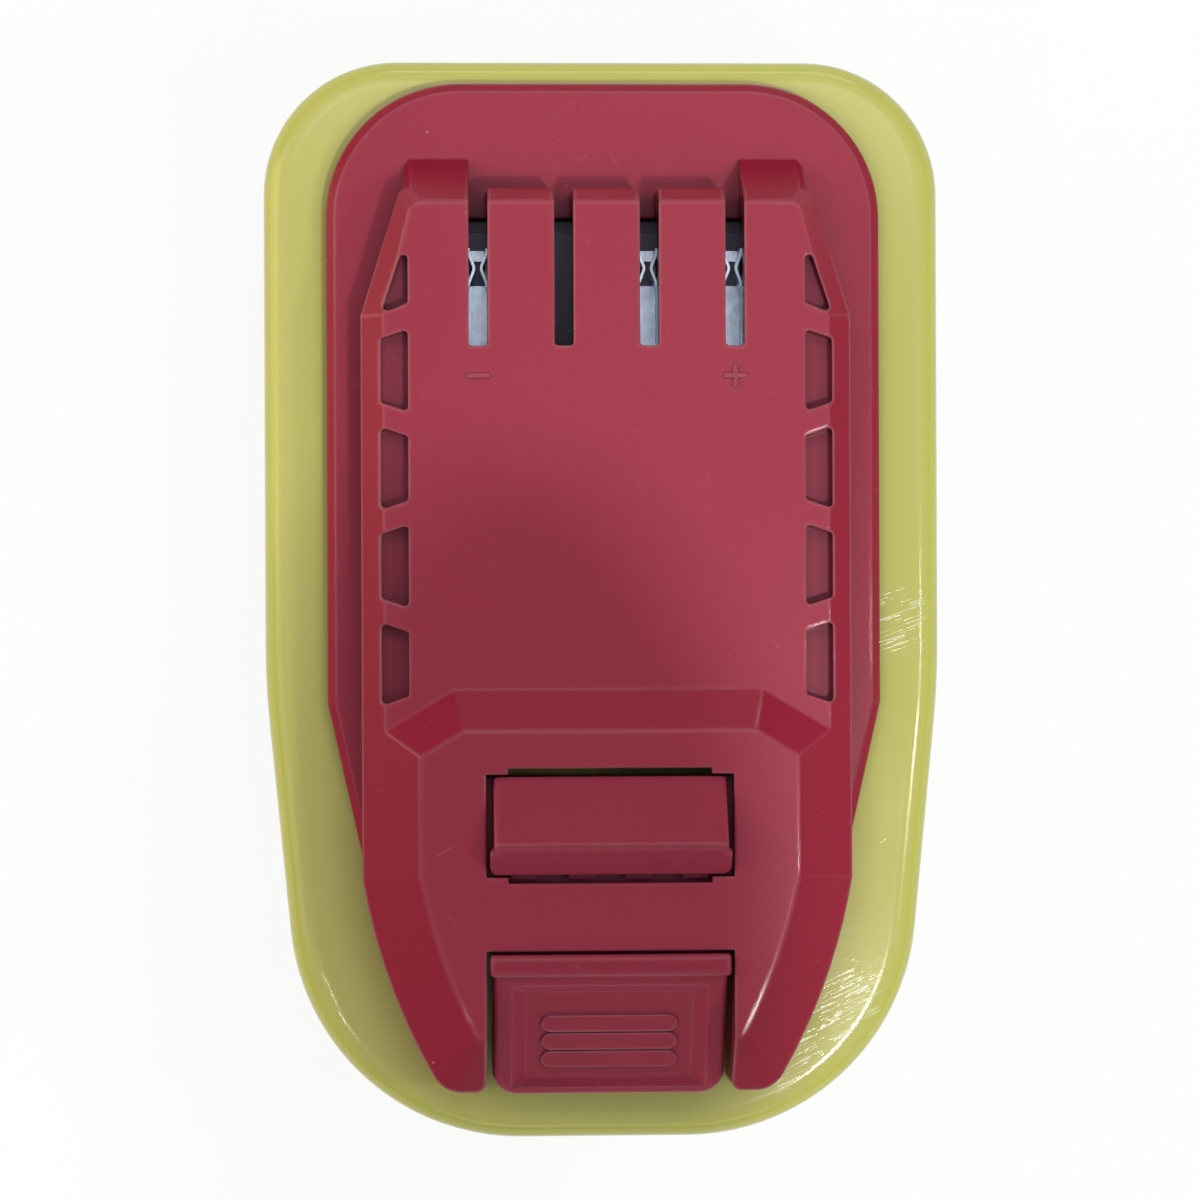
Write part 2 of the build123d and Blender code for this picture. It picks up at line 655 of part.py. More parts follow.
# Carrier: black block that holds the forks under the slots
carrier_front_y = cavity_front_y - carrier_front_gap
carrier_rear_y = carrier_front_y - carrier_length
carrier_half = cavity_half - carrier_side_gap
carrier_floor_z = deck_z + carrier_floor
carrier_top_z = flange_under_z - carrier_roof_gap
with BuildPart() as terminal_carrier:
    with BuildSketch(Plane.XY.offset(deck_z)):
        with Locations((0, (carrier_front_y + carrier_rear_y) / 2)):
            Rectangle(2 * carrier_half, carrier_length)
    extrude(amount=carrier_floor - carrier_step_height)
    with BuildSketch(Plane.XY.offset(deck_z)):
        with Locations((0, (carrier_front_y - carrier_step + carrier_rear_y) / 2)):
            Rectangle(2 * carrier_half, carrier_length - carrier_step)
    extrude(amount=carrier_top_z - deck_z)
    with BuildSketch(Plane.XY.offset(carrier_floor_z)):
        with Locations(*[(x, (carrier_front_y + carrier_rear_y) / 2) for x in slot_xs]):
            Rectangle(channel_width, carrier_length)
    extrude(amount=carrier_top_z - carrier_floor_z, mode=Mode.SUBTRACT)
    with BuildSketch(Plane.XY.offset(deck_z)):
        with Locations(*[(x, fork_tail_y) for x in contact_xs.values()]):
            Rectangle(fork_body_gap + 2 * fork_tail_gap, fork_metal + 2 * fork_tail_gap)
    extrude(amount=carrier_floor, mode=Mode.SUBTRACT)
    with Locations(*[Location((x, y, deck_z), (180, 0, 0)) for x, y in carrier_screw_places]):
        Hole(screw_diameter / 2, cover_pilot_depth)
terminal_carrier.part.label = "terminal_carrier"


def fork(label, x):
    """One fork contact: a strip with two sprung leaves on it and a solder tail through the deck."""
    tip_y = rail_front_y - fork_setback
    rear_y = tip_y - fork_length
    with BuildPart() as contact:
        with BuildSketch(Plane.XY.offset(carrier_floor_z)):
            with Locations((x, (tip_y + rear_y) / 2)):
                Rectangle(fork_body_gap, fork_length)
            window_y = tip_y - (fork_window_start + fork_window_end) / 2
            with Locations((x, window_y)):
                Rectangle(
                    fork_body_gap - fork_window_margin,
                    fork_window_end - fork_window_start,
                    mode=Mode.SUBTRACT,
                )
        extrude(amount=fork_metal)
        with BuildSketch(Plane.XY.offset(carrier_floor_z)):
            with BuildLine():
                FilletPolyline(
                    (x + fork_tip_gap / 2, tip_y),
                    (x + fork_tip_gap / 2, tip_y - fork_tip_distance),
                    (x + fork_pinch_gap / 2, tip_y - fork_pinch_distance),
                    (x + fork_body_gap / 2, tip_y - fork_shoulder_distance),
                    (x + fork_body_gap / 2, rear_y),
                    radius=[fork_tip_radius, fork_pinch_radius, fork_shoulder_radius],
                )
                offset(amount=fork_metal, side=Side.LEFT)
            make_face()
            mirror(about=Plane.YZ.offset(x))
        extrude(amount=fork_height)
        with BuildSketch(Plane.XY.offset(fork_tail_z)):
            with Locations((x, rear_y + fork_metal / 2)):
                Rectangle(fork_body_gap, fork_metal)
        extrude(amount=carrier_floor_z - fork_tail_z)
    contact.part.label = label
    return contact.part


fork_tail_z = block_top_z + wire_lift - solder_rise
forks = [fork(f"{name}_fork", x) for name, x in contact_xs.items()]


# Latch, hook part: ramp, rounded crest, web under the roof and the ribs down its rear face
latch_front_y = hook_front_y - hook_end_gap
hook_back_y = hook_rear_y + hook_end_gap
hook_half = opening_half - hook_gap
web_top_z = roof_z - latch_clearance
web_z = web_top_z - latch_web
crest_z = plateau_z + hook_rise
crest_y = latch_front_y - hook_crest_share * (latch_front_y - hook_back_y)
lip_front_y = button_top_y - button_gap
lip_rear_y = lip_front_y - button_lip
button_end_y = lip_front_y - button_reach
lip_half = opening_half - button_gap
button_half = lip_half - button_lip_overhang
slope_top_z = plateau_z - button_shoulder
toe_z = deck_z + latch_travel + button_toe_gap
toe_top_z = toe_z + button_toe
button_slope = (slope_top_z - toe_top_z) / (lip_rear_y - button_end_y)
skin_drop = button_skin * math.hypot(1, button_slope)
under_rear_y = button_end_y + (toe_z + skin_drop - toe_top_z) / button_slope
under_front_y = lip_rear_y - (slope_top_z - skin_drop - web_z) / button_slope
slope_length = math.hypot(lip_rear_y - button_end_y, slope_top_z - toe_top_z)
slope_plane = Plane(
    origin=(0, (lip_rear_y + button_end_y) / 2, (slope_top_z + toe_top_z) / 2),
    x_dir=(1, 0, 0),
    z_dir=(0, -button_slope, 1),
)
dish_width = 2 * (button_half - dish_side_margin)
dish_length = slope_length - dish_top_margin - dish_end_margin
floor_length = dish_length - dish_top_run - dish_end_run
floor_shift = (dish_end_margin + dish_end_run - dish_top_margin - dish_top_run) / 2
first_rib_y = floor_shift - grip_rib_drop - grip_rib_pitch * (grip_rib_count - 1) / 2

# Latch, the rounded bar along the thumb button's upper edge
with BuildPart() as button_bar:
    with BuildSketch(Plane.YZ) as lip:
        with Locations((lip_front_y - button_lip / 2, (slope_top_z + plateau_z + button_lip_rise) / 2)):
            Rectangle(button_lip, plateau_z + button_lip_rise - slope_top_z)
        fillet(lip.vertices().group_by(Axis.Y)[-1], button_lip_radius)
    extrude(amount=lip_half, both=True)
    fillet(button_bar.faces().filter_by(Axis.X).edges(), button_lip_end_radius)

# Latch, thumb button: a sloping plate with a lip, cut to its outline with round lower corners
with BuildPart() as button:
    with BuildSketch(Plane.YZ):
        with BuildLine():
            Polyline(
                (lip_front_y, web_z),
                (lip_front_y, slope_top_z),
                (lip_rear_y, slope_top_z),
                (button_end_y, toe_top_z),
                (button_end_y, toe_z),
                (under_rear_y, toe_z),
                (under_front_y, web_z),
                close=True,
            )
        make_face()
    extrude(amount=button_half, both=True)
    with BuildSketch(Plane.XY.offset(toe_z)) as plan:
        with Locations((0, (lip_front_y + button_end_y) / 2)):
            Rectangle(2 * button_half, lip_front_y - button_end_y)
        fillet(plan.vertices().group_by(Axis.Y)[0], button_corner_radius)
    extrude(amount=plateau_z - toe_z, mode=Mode.INTERSECT)
    slope_face = button.faces().filter_by(slope_plane).sort_by(Axis.Z)[-1]
    fillet(slope_face.edges().sort_by(Axis.Y)[:-1], button_rim_radius)
    with BuildSketch(slope_plane):
        with Locations((0, (dish_end_margin - dish_top_margin) / 2)):
            Rectangle(dish_width, dish_length)
    with BuildSketch(slope_plane.offset(-dish_depth)):
        with Locations((0, floor_shift)):
            Rectangle(dish_width - 2 * dish_side_run, floor_length)
    loft(ruled=True, mode=Mode.SUBTRACT)
    with BuildSketch(slope_plane.offset(-dish_depth)):
        with Locations(*[(0, first_rib_y + grip_rib_pitch * i) for i in range(grip_rib_count)]):
            SlotOverall(grip_rib_length, grip_rib_width)
    extrude(amount=grip_rib_height)
    add(button_bar.part)

# Latch, the bar along the hook's crest, a little wider than the ramp and round at both ends
with BuildPart() as hook_bar:
    with BuildSketch(Plane.YZ) as bar:
        with BuildLine():
            Polyline(
                (crest_y, web_z),
                (crest_y, crest_z),
                (hook_back_y, plateau_z),
                (hook_back_y, web_z),
                close=True,
            )
        make_face()
        fillet(bar.vertices().group_by(Axis.Y)[-1], hook_crest_radius)
    extrude(amount=hook_half, both=True)
    with BuildSketch(Plane.XY.offset(web_z)):
        with Locations((0, (crest_y + hook_back_y) / 2)):
            RectangleRounded(2 * hook_half, crest_y - hook_back_y, hook_bar_radius)
    extrude(amount=crest_z - web_z, mode=Mode.INTERSECT)

with BuildPart() as release_latch:
    with BuildSketch(Plane.YZ) as hook:
        with BuildLine():
            Polyline(
                (latch_front_y, web_z),
                (latch_front_y, plateau_z - hook_ramp_drop),
                (crest_y, crest_z),
                (hook_back_y, plateau_z),
                (hook_back_y, web_z),
                close=True,
            )
        make_face()
        fillet(hook.vertices().group_by(Axis.Y)[-1], hook_crest_radius)
    extrude(amount=hook_half - hook_bar_overhang, both=True)
    end_edges = release_latch.faces().filter_by(Axis.X).edges()
    top_edges = [e for e in end_edges if e.center().Z > plateau_z - hook_rib_drop]
    fillet(top_edges + end_edges.group_by(Axis.Y)[-1], hook_side_radius)
    add(hook_bar.part)
    with BuildSketch(Plane.XY.offset(web_z)):
        web_rear_y = button_top_y + latch_clearance
        with Locations((0, (latch_front_y + web_rear_y) / 2)):
            Rectangle(2 * (opening_half + latch_wing), latch_front_y - web_rear_y)
        with Locations((0, (web_rear_y + lip_front_y) / 2)):
            Rectangle(2 * button_half, web_rear_y - lip_front_y)
    extrude(amount=latch_web)
    with BuildSketch(Plane.XY.offset(web_z)):
        rib_xs = [hook_rib_pitch * (i - (hook_rib_count - 1) / 2) for i in range(hook_rib_count)]
        with Locations(*[(x, hook_back_y - hook_rib_depth / 2) for x in rib_xs]):
            Rectangle(hook_rib_width, hook_rib_depth)
    extrude(amount=plateau_z - hook_rib_drop - web_z)
    add(button.part)
release_latch.part.label = "release_latch"


def spring(label, place):
    """One coil spring, standing on the deck and reaching up to the latch's web."""
    room = web_z - deck_z - 2 * spring_seat_gap
    with BuildPart() as coil:
        with BuildLine() as path:
            Helix(
                pitch=(room - spring_wire) / spring_turns,
                height=room - spring_wire,
                radius=(spring_outer_diameter - spring_wire) / 2,
                center=(*place, deck_z + spring_seat_gap + spring_wire / 2),
            )
        with BuildSketch(Plane(origin=path.line @ 0, z_dir=path.line % 0)):
            Circle(spring_wire / 2)
        sweep(is_frenet=True)
    coil.part.label = label
    return coil.part


springs = [spring(f"latch_spring_{side}", place) for side, place in spring_places.items()]

# Contact block: the plate over the well that the battery leaves stand in
leaf_slot_width = leaf_thickness + 2 * leaf_slot_gap
with BuildPart() as contact_block:
    with BuildSketch(Plane.XY.offset(ceiling_top_z)):
        with Locations((0, block_middle_y)):
            Rectangle(block_width, block_front_y - block_rear_y)
        with Locations(*main_leaf_places):
            Rectangle(leaf_slot_width, leaf_width + 2 * leaf_slot_gap, mode=Mode.SUBTRACT)
        with Locations((leaf_x, sense_leaf_y)):
            Rectangle(leaf_slot_width, sense_leaf_width + 2 * leaf_slot_gap, mode=Mode.SUBTRACT)
        with Locations(*block_screw_places):
            Circle(block_screw_diameter / 2 + screw_clearance, mode=Mode.SUBTRACT)
    extrude(amount=block_thickness)
contact_block.part.label = "contact_block"


def leaf(label, x, y, width):
    """One battery leaf: a tab above the block and a bowed, sprung tongue down the well's wall."""
    inward = -math.copysign(leaf_bow, x)
    top_z = ceiling_z - leaf_straight
    foot_z = ceiling_z - leaf_hang + leaf_foot
    back = x - leaf_thickness / 2
    with BuildPart() as tongue:
        with BuildSketch(Plane.XZ.offset(-y)):
            with BuildLine():
                FilletPolyline(
                    (back, block_top_z + leaf_tab),
                    (back, top_z),
                    (back + inward, (top_z + foot_z) / 2),
                    (back, foot_z),
                    (back, ceiling_z - leaf_hang),
                    radius=[leaf_shoulder_radius, leaf_bow_radius, leaf_foot_radius],
                )
                offset(amount=leaf_thickness, side=Side.LEFT)
            make_face()
        extrude(amount=width / 2, both=True)
    tongue.part.label = label
    return tongue.part


leaves = [
    leaf("negative_leaf", -leaf_x, main_leaf_y, leaf_width),
    leaf("positive_leaf", leaf_x, main_leaf_y, leaf_width),
    leaf("sense_leaf", leaf_x, sense_leaf_y, sense_leaf_width),
]

# Wires: each one runs from a battery leaf's tab to a fork's tail, in straight stretches and bends
tail_face_y = fork_tail_y - fork_metal / 2
jog_end_y = tail_face_y - wire_tail_run
jog_start_y = jog_end_y - wire_jog
tab_face_x = leaf_x - leaf_thickness / 2
wire_z = block_top_z + wire_lift + wire_diameter / 2
sense_wire_z = block_top_z + wire_lift + sense_wire_diameter / 2
sense_x = contact_xs["sense"]
screw_side_x = front_screw_x - screw_head_diameter / 2 - wire_screw_gap - wire_diameter / 2
wire_run_x = min(screw_side_x, tab_face_x - wire_bend_radius - wire_bend_spare)


def wire(label, points, diameter, radii):
    """One insulated wire through the given points, with a bend of its own radius at each corner."""
    with BuildPart() as cord:
        with BuildLine() as route:
            FilletPolyline(*points, radius=radii)
        with BuildSketch(Plane(origin=route.line @ 0, z_dir=route.line % 0)):
            Circle(diameter / 2)
        sweep()
    cord.part.label = label
    return cord.part


main_bends = [wire_bend_radius, wire_jog_radius, wire_jog_radius]
wires = []
for name, side in (("negative", -1), ("positive", 1)):
    stops = [
        (side * tab_face_x, main_leaf_y, wire_z),
        (side * wire_run_x, main_leaf_y, wire_z),
        (side * wire_run_x, jog_start_y, wire_z),
        (contact_xs[name], jog_end_y, wire_z),
        (contact_xs[name], tail_face_y, wire_z),
    ]
    wires.append(wire(f"{name}_wire", stops, wire_diameter, main_bends))
sense_stops = [
    (tab_face_x, sense_leaf_y, sense_wire_z),
    (sense_x, sense_leaf_y, sense_wire_z),
    (sense_x, tail_face_y, sense_wire_z),
]
wires.append(wire("sense_wire", sense_stops, sense_wire_diameter, [sense_bend_radius]))

# Solder: a collar round each wire's end, against the tab or the tail
with BuildPart() as solder_joints:
    joints = [
        ((-tab_face_x, main_leaf_y, wire_z), (1, 0, 0), wire_diameter),
        ((tab_face_x, main_leaf_y, wire_z), (-1, 0, 0), wire_diameter),
        ((tab_face_x, sense_leaf_y, sense_wire_z), (-1, 0, 0), sense_wire_diameter),
        ((contact_xs["negative"], tail_face_y, wire_z), (0, -1, 0), wire_diameter),
        ((contact_xs["positive"], tail_face_y, wire_z), (0, -1, 0), wire_diameter),
        ((sense_x, tail_face_y, sense_wire_z), (0, -1, 0), sense_wire_diameter),
    ]
    for place, direction, diameter in joints:
        with BuildSketch(Plane(origin=place, z_dir=direction)):
            Circle(diameter / 2 + solder_rise)
        extrude(amount=solder_length, taper=solder_taper)
        with BuildSketch(Plane(origin=place, z_dir=direction)):
            Circle(diameter / 2)
        extrude(amount=solder_length, mode=Mode.SUBTRACT)
solder_joints.part.label = "solder_joints"


def screws(label, places, seat_z, way, length, diameter, head_diameter, head_height):
    """A set of pan-head screws whose shanks run from seat_z upwards (way 1) or downwards (way -1)."""
    seat = Plane.XY.offset(seat_z)
    top = Plane.XY.offset(seat_z - way * head_height)
    recess_share = head_diameter / screw_head_diameter
    with BuildPart() as fasteners:
        with BuildSketch(seat):
            with Locations(*places):
                Circle(head_diameter / 2)
        extrude(amount=-way * head_height)
        circles = fasteners.edges().filter_by(GeomType.CIRCLE)
        rims = [e for e in circles if abs(e.center().Z - seat_z) > head_height / 2]
        fillet(rims, screw_head_radius * recess_share)
        with BuildSketch(top):
            with Locations(*places):
                Rectangle(screw_recess_width * recess_share, screw_recess_blade * recess_share)
                Rectangle(screw_recess_blade * recess_share, screw_recess_width * recess_share)
        extrude(amount=way * screw_recess_depth * recess_share, mode=Mode.SUBTRACT)
        with BuildSketch(seat):
            with Locations(*places):
                Circle(diameter / 2)
        extrude(amount=way * length)
    fasteners.part.label = label
    return fasteners.part


big_head = (screw_diameter, screw_head_diameter, screw_head_height)
small_head = (block_screw_diameter, block_screw_head_diameter, block_screw_head_height)
screw_sets = [
    screws("cover_screws", cover_screw_places, deck_under_z, 1, cover_screw_length, *big_head),
    screws("carrier_screws", carrier_screw_places, deck_under_z, 1, cover_screw_length, *big_head),
    screws("foot_screws", foot_screw_places, counterbore_depth, 1, foot_screw_length, *big_head),
    screws("block_screws", block_screw_places, block_top_z, -1, block_screw_length, *small_head),
]

os.makedirs("parts", exist_ok=True)
mouldings = [battery_socket, housing, rail_cover, terminal_carrier, release_latch, contact_block]
pieces = [m.part for m in mouldings + [solder_joints]] + forks + springs + leaves + wires + screw_sets
for piece in pieces:
    export_step(piece, f"parts/{piece.label}.step")
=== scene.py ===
"""Looks of the tool battery adapter: its plastics, plated contacts, wires and fasteners on a white sheet.

Everything is in metres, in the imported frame: +Z up from the foot, +Y towards the end where the tool's
blades enter, +X to the right seen from above.
"""

import math

import bpy
import numpy as np
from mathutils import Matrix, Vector


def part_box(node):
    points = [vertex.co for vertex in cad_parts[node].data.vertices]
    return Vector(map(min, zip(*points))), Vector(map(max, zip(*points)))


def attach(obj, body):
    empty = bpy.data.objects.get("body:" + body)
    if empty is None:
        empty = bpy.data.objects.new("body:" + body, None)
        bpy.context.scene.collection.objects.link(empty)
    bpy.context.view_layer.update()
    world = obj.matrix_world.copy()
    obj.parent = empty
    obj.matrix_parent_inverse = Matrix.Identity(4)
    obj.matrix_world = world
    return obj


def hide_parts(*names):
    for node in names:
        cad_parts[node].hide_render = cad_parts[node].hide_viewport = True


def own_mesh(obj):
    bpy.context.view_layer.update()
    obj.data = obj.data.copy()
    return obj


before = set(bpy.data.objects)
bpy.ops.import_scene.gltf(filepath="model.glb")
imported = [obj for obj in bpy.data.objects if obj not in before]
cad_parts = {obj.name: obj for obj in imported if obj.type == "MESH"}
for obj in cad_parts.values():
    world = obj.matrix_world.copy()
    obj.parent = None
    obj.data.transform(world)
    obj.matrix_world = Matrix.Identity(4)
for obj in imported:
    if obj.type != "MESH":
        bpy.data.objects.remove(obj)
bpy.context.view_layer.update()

scene = bpy.context.scene
scene.view_settings.view_transform = "Standard"

# Foot and battery socket. One moulding of black glass-filled plastic with the deep well for the
# battery's post. Its mould was spark-eroded, so it has a fine even grain and hardly any gloss.


def set_sockets(material, node, sockets):
    """Sets sockets of a node by name or number, to a number, a colour or a link from another node."""
    for socket, value in sockets.items():
        if isinstance(value, bpy.types.NodeSocket):
            material.node_tree.links.new(value, node.inputs[socket])
        else:
            node.inputs[socket].default_value = value


def shader_node(material, kind, sockets=None, **settings):
    """Adds one node to a material, with its sockets and settings."""
    made = material.node_tree.nodes.new(kind)
    for setting, value in settings.items():
        setattr(made, setting, value)
    set_sockets(material, made, sockets or {})
    return made


def new_surface(name):
    """A new material and its shader."""
    material = bpy.data.materials.new(name)
    material.use_nodes = True
    return material, material.node_tree.nodes["Principled BSDF"]


def ramp(material, value, low, high, start=0.0, end=1.0):
    """A value carried from the range low..high to start..end, and held outside it."""
    sockets = {"Value": value, "From Min": low, "From Max": high, "To Min": start, "To Max": end}
    return shader_node(material, "ShaderNodeMapRange", sockets).outputs["Result"]


def combined(material, operation, first, *others):
    """Values taken together from left to right by one kind of sum."""
    for other in others:
        made = shader_node(material, "ShaderNodeMath", {0: first, 1: other}, operation=operation)
        first = made.outputs["Value"]
    return first


def blended(material, share, first, second):
    """The first colour, gone over to the second as share goes from 0 to 1."""
    sockets = {0: share, 6: first, 7: second}  # the factor and the two colours of a colour mix
    return shader_node(material, "ShaderNodeMix", sockets, data_type="RGBA").outputs[2]


def cloud(material, place, size, detail=2.0):
    """Soft noise from 0 to 1 whose blots are about size across."""
    sockets = {"Vector": place, "Scale": 1 / size, "Detail": detail}
    return shader_node(material, "ShaderNodeTexNoise", sockets).outputs["Fac"]


def rounded_normal(material, radius):
    """The surface's normal, turned near the corners as if they were rounded to radius."""
    return shader_node(material, "ShaderNodeBevel", {"Radius": radius}, samples=6).outputs["Normal"]


def bumped_normal(material, height, depth, normal):
    """A normal tilted by a height from 0 to 1 that stands for depth."""
    sockets = {"Height": height, "Distance": depth, "Normal": normal}
    return shader_node(material, "ShaderNodeBump", sockets).outputs["Normal"]


def strokes(material, place, angle, spacing, length, low, high):
    """Short scratches along a direction in the XY plane: the crests, from low to high, of stretched noise."""
    sockets = {"Vector": place, "Rotation": (0, 0, angle), "Scale": (length, spacing, length)}
    mapping = shader_node(material, "ShaderNodeMapping", sockets, vector_type="TEXTURE")
    sockets = {"Vector": mapping.outputs["Vector"], "Scale": 1.0, "Detail": 1.0}
    noise = shader_node(material, "ShaderNodeTexNoise", sockets)
    return ramp(material, noise.outputs["Fac"], low, high)


def scratches(material, place, scuffs):
    """Bright lines on worn plastic, as a share from 0 to 1. Sparse faint ones cross everywhere in two
    directions, and each scuff, given as its middle, its reach and the direction of its lines, is a patch
    of dense strong ones with breaks between them."""
    faintness = 0.3
    fine_spacing, dense_spacing = 0.00012, 0.00024
    break_size = 0.0022
    one_way = strokes(material, place, 0.55, fine_spacing, 0.005, 0.78, 0.84)
    other_way = strokes(material, place, -1.05, fine_spacing, 0.004, 0.78, 0.84)
    marks = combined(material, "MAXIMUM", one_way, other_way)
    marks = combined(material, "MULTIPLY", marks, faintness)
    for middle, reach, angle in scuffs:
        sockets = {0: place, 1: middle}
        distance = shader_node(material, "ShaderNodeVectorMath", sockets, operation="DISTANCE")
        near = ramp(material, distance.outputs["Value"], reach, 0.5 * reach)
        dense = strokes(material, place, angle, dense_spacing, 0.0045, 0.56, 0.65)
        broken = ramp(material, cloud(material, place, break_size), 0.42, 0.56)
        marks = combined(material, "MAXIMUM", marks, combined(material, "MULTIPLY", dense, broken, near))
    return marks


def dust(material, place):
    """Faint specks of dust, as a share from 0 to 1: the middles of a few of the cells in a cell pattern."""
    cells_per_metre = 260.0
    faintness = 0.4
    cells = shader_node(material, "ShaderNodeTexVoronoi", {"Vector": place, "Scale": cells_per_metre})
    speck = ramp(material, cells.outputs["Distance"], 0.05, 0.03)
    parts = shader_node(material, "ShaderNodeSeparateColor", {"Color": cells.outputs["Color"]})
    chosen = ramp(material, parts.outputs["Red"], 0.86, 0.88, 0, faintness)
    return combined(material, "MULTIPLY", speck, chosen)


def moulded_plastic(
    name, colour, faded, painted_recess_shade, roughness, grain_size, grain_depth, corner, specular, painted_top_sheen=(), scuffs=()
):
    """Moulded plastic. The colour drifts between two tones in wide clouds. Corners are rounded to corner,
    and the outer ones are rubbed paler, and glossier where they look up. Faces that look up are painted
    with a sheen, the colour painted_top_sheen, where one is given, and recesses are painted with shade,
    the colour painted_recess_shade. Scratches and dust lie on a fine grain."""
    recess_reach = 0.007
    tone_size, handling_size = 0.03, 0.018
    roughness_drift = 0.06
    material, shader = new_surface(name)
    place = shader_node(material, "ShaderNodeTexCoord").outputs["Object"]
    rounded = rounded_normal(material, corner)
    upward = shader_node(material, "ShaderNodeSeparateXYZ", {"Vector": rounded}).outputs["Z"]
    sockets = {0: rounded, 1: shader_node(material, "ShaderNodeNewGeometry").outputs["Normal"]}
    facing = shader_node(material, "ShaderNodeVectorMath", sockets, operation="DOT_PRODUCT")
    flatness = facing.outputs["Value"]
    # How open each point is to the room, from ambient occlusion; it drives the painted shade in recesses and
    # finds the outer edges.
    sockets = {"Distance": recess_reach}
    openness = shader_node(material, "ShaderNodeAmbientOcclusion", sockets, samples=8).outputs["AO"]
    outer = ramp(material, openness, 0.85, 0.97)
    rubbed = combined(material, "MULTIPLY", ramp(material, flatness, 0.99, 0.86, 0, 0.15), outer)
    polished = ramp(material, flatness, 0.9998, 0.997, 0, 0.65)
    polished = combined(material, "MULTIPLY", polished, outer, ramp(material, upward, 0.2, 0.5))
    lines = scratches(material, place, scuffs)
    marks = combined(material, "MAXIMUM", lines, dust(material, place), rubbed)

    tone = ramp(material, cloud(material, place, tone_size, 3.0), 0.3, 0.7)
    skin = blended(material, tone, (*colour, 1), (*faded, 1))
    if painted_top_sheen:
        # Painted sheen: faces that look up are blended towards a paler colour, as if they reflected the
        # bright room overhead.
        skin = blended(material, ramp(material, upward, 0.70, 0.99), skin, (*painted_top_sheen, 1))
    # Painted shade: where ambient occlusion finds walls close by, the colour is blended towards the darker
    # painted_recess_shade colour.
    skin = blended(material, ramp(material, openness, 0.85, 0.15, 0, 0.9), skin, (*painted_recess_shade, 1))
    pale = tuple(0.6 * channel + 0.4 for channel in colour)
    skin = blended(material, marks, skin, (*pale, 1))

    smooth, dull = roughness - roughness_drift, roughness + roughness_drift
    handled = ramp(material, cloud(material, place, handling_size), 0.2, 0.8, smooth, dull)
    rough = combined(material, "ADD", handled, combined(material, "MULTIPLY", marks, 0.25))
    grain = cloud(material, place, grain_size)
    carved = combined(material, "SUBTRACT", grain, combined(material, "MULTIPLY", lines, 1.5))
    sockets = {
        "Base Color": skin,
        "Specular IOR Level": specular,
        "Roughness": rough,
        "Normal": bumped_normal(material, carved, grain_depth, rounded),
        "Coat Weight": polished,
        "Coat Normal": rounded,
        "Coat Roughness": 0.10,
    }
    set_sockets(material, shader, sockets)
    return material


def dress(material, *nodes):
    """Gives CAD nodes their finish."""
    for name in nodes:
        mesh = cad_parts[name].data
        mesh.materials.clear()
        mesh.materials.append(material)


# painted_recess_shade is the colour of the painted shade in recesses; painted_top_sheen, where given, is the
# colour of the painted sheen on faces that look up.
foot_plastic = moulded_plastic(
    "foot_plastic",
    colour=(0.014, 0.014, 0.016),
    faded=(0.020, 0.020, 0.022),
    painted_recess_shade=(0.008, 0.008, 0.009),
    roughness=0.48,
    grain_size=0.0003,
    grain_depth=0.00004,
    corner=0.0003,
    specular=0.4,
)
dress(foot_plastic, "battery_socket")

# Battery leaves, the plate that they stand in and its two screws. The leaves are stamped from plated
# spring strip and push through the grey insulating plate, which is screwed to the top of the well.


def bright_metal(name, colour, tarnish, roughness, along, line_size, corner):
    """Drawn or rolled metal. Fine lines run along an axis, given as the stretch of the noise on x, y and z,
    and dull clouds of tarnish lie over them. Cut edges are rounded to corner."""
    tarnish_size = 0.003
    line_depth = 0.000006
    material, shader = new_surface(name)
    place = shader_node(material, "ShaderNodeTexCoord").outputs["Object"]
    scale = tuple(1 / (line_size * stretch) for stretch in along)
    stretched = shader_node(material, "ShaderNodeMapping", {"Vector": place, "Scale": scale})
    lines = cloud(material, stretched.outputs["Vector"], 1.0)
    clouds = ramp(material, cloud(material, place, tarnish_size, 3.0), 0.42, 0.72)
    tarnished = combined(material, "MULTIPLY", clouds, 0.6)
    streaks = ramp(material, lines, 0.3, 0.7, roughness - 0.06, roughness + 0.08)
    sockets = {
        "Metallic": 1.0,
        "Base Color": blended(material, tarnished, (*colour, 1), (*tarnish, 1)),
        "Roughness": combined(material, "ADD", streaks, combined(material, "MULTIPLY", clouds, 0.15)),
        "Normal": bumped_normal(material, lines, line_depth, rounded_normal(material, corner)),
    }
    set_sockets(material, shader, sockets)
    return material


leaf_plating = bright_metal(
    "leaf_plating",
    colour=(0.80, 0.80, 0.80),
    tarnish=(0.52, 0.47, 0.40),
    roughness=0.24,
    along=(1, 1, 14),
    line_size=0.00012,
    corner=0.00015,
)
dress(leaf_plating, "negative_leaf", "positive_leaf", "sense_leaf")
block_plastic = moulded_plastic(
    "block_plastic",
    colour=(0.045, 0.046, 0.050),
    faded=(0.060, 0.060, 0.064),
    painted_recess_shade=(0.025, 0.025, 0.028),
    roughness=0.42,
    grain_size=0.0002,
    grain_depth=0.00002,
    corner=0.0002,
    specular=0.4,
)
dress(block_plastic, "contact_block")
screw_zinc = bright_metal(
    "screw_zinc",
    colour=(0.66, 0.67, 0.68),
    tarnish=(0.42, 0.41, 0.38),
    roughness=0.32,
    along=(1, 1, 3),
    line_size=0.0002,
    corner=0.0002,
)
dress(screw_zinc, "block_screws")

